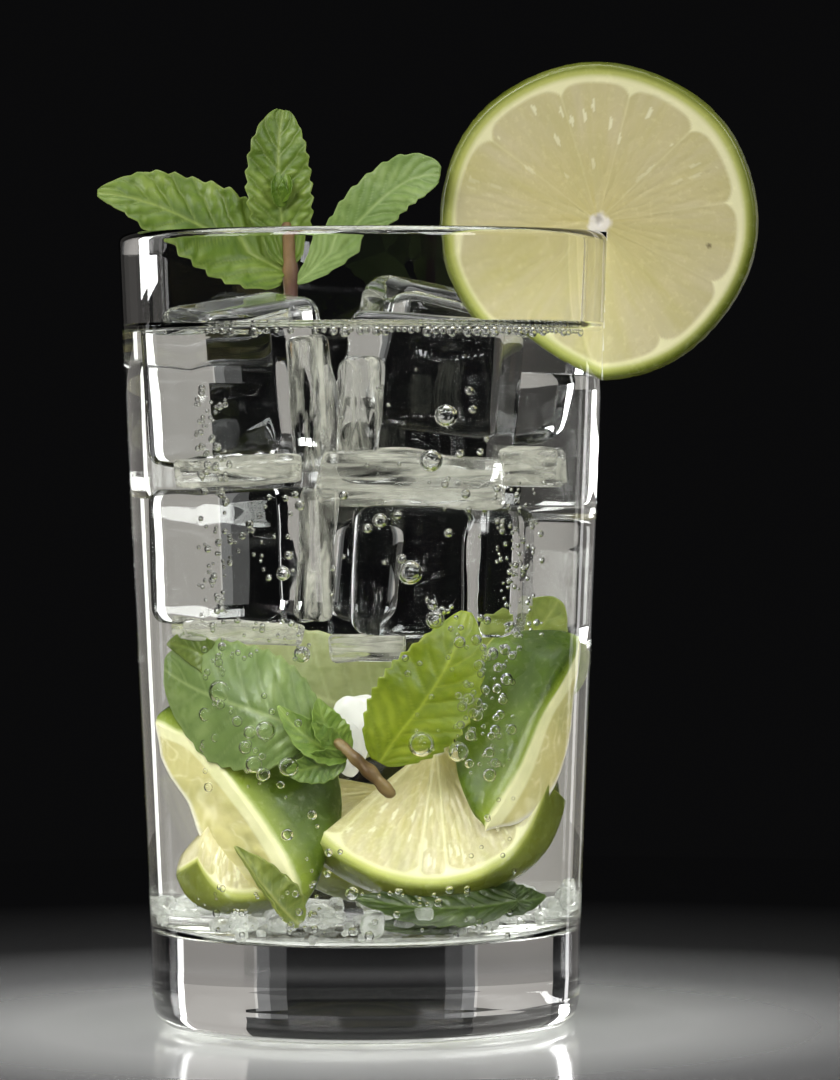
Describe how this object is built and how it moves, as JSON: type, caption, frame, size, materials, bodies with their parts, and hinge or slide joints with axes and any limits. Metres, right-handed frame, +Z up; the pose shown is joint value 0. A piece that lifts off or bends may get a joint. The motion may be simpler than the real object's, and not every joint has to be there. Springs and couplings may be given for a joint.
{
  "type": "mojito cocktail in a tall glass",
  "caption": "Clear tall tumbler of iced mojito with mint, a lime wheel slit over the rim, and a heavy flat glass base to stand on.",
  "frame": {"origin": "middle of the flat foot that the glass stands on, on the axis of the glass", "axes": "+Z up along the axis of the glass; -Y is the side that the cut face of the lime wheel looks to; +X points from the axis to the place on the rim that carries the wheel"},
  "size_m": [0.1082, 0.0804, 0.1582],
  "materials": {
    "glass": "clear soda-lime glass, fire-polished lip, thick base",
    "drink": "clear sparkling drink, almost without colour, full of small bubbles",
    "lime": "wet cut lime: pale yellow-green pulp, cream pith, green waxy rind",
    "mint": "fresh mint leaf, puckered between the veins, brown-red stem",
    "ice": "clear ice with rounded edges"
  },
  "bodies": {
    "root": {"glass": "glass", "drink": "drink", "lime_wheel": "lime", "mint_sprig": "mint", "ice_left": "ice", "ice_front": "ice", "ice_back": "ice"}
  },
  "joints": []
}
